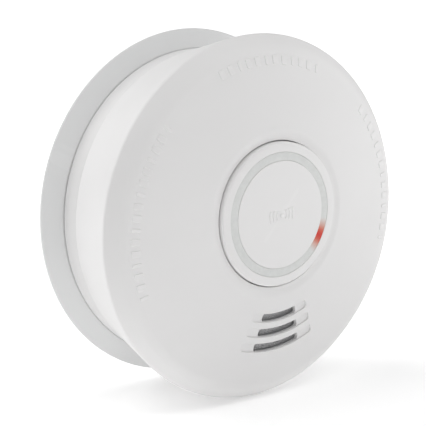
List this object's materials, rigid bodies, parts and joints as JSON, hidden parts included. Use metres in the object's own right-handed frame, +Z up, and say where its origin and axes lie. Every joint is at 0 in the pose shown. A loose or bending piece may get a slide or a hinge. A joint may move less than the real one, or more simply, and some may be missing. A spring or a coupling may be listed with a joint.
{
  "type": "carbon monoxide detector",
  "caption": "Round wall-mounted battery gas alarm with a flared body, a twist-off wall bracket, a large sprung test button with a light ring, and an arched sounder grille.",
  "frame": {"origin": "centre of the bracket's back face, on the wall", "axes": "+Z up, -Y out of the wall through the face and the test button, +X to the right as seen from the room"},
  "size_m": [0.12, 0.0516, 0.12],
  "materials": {
    "shell": "fine matte moulded ABS",
    "bracket": "matte moulded ABS",
    "button": "satin moulded ABS",
    "light_guide": "diffusing acrylic",
    "board": "green solder mask",
    "black_plastic": "matte moulded",
    "screen": "woven insect screen",
    "steel": "nickel plated",
    "brass": "satin",
    "piezo": "silvered face",
    "cell": "printed sleeve",
    "red_lens": "clear epoxy",
    "green_lens": "clear epoxy",
    "amber_lens": "clear epoxy"
  },
  "bodies": {
    "bracket": {"mounting_bracket": "bracket"},
    "detector": {"rear_housing": "shell", "front_cover": "shell", "grille_screen": "screen", "main_board": "board", "mcu_chip": "black_plastic", "boost_inductor": "black_plastic", "storage_capacitor": "black_plastic", "co_sensor_can": "steel", "co_sensor_cap": "black_plastic", "sounder_housing": "black_plastic", "piezo_disc": "brass", "piezo_ceramic": "piezo", "sounder_pin_1": "steel", "sounder_pin_2": "steel", "led_alarm_red": "red_lens", "led_power_green": "green_lens", "led_fault_amber": "amber_lens", "switch_body": "black_plastic", "return_spring": "steel", "battery_1": "cell", "battery_2": "cell", "contact_bridge": "steel", "contact_negative": "steel", "contact_positive": "steel", "contact_spring_1": "steel", "contact_spring_2": "steel", "board_screw_1": "steel", "board_screw_2": "steel", "board_screw_3": "steel", "housing_screw_1": "steel", "housing_screw_2": "steel", "housing_screw_3": "steel"},
    "button": {"test_button": "button", "light_ring": "light_guide"},
    "plunger": {"switch_plunger": "black_plastic"}
  },
  "joints": [
    {"name": "body_twist", "type": "hinge", "parent": "bracket", "child": "detector", "pos_m": [0, 0, 0], "axis": [0, -1, 0], "range_deg": [0, 16]},
    {"name": "test_press", "type": "slide", "parent": "detector", "child": "button", "axis": [0, 1, 0], "range_m": [0, 0.001], "stiffness_N_per_m": 800, "springref_m": -0.001, "deforming": ["return_spring"]},
    {"name": "plunger_press", "type": "slide", "parent": "detector", "child": "plunger", "axis": [0, 1, 0], "range_m": [0, 0.001]}
  ],
  "couplings": [
    {"joint": "plunger_press", "follows": "test_press", "ratio": 1}
  ]
}
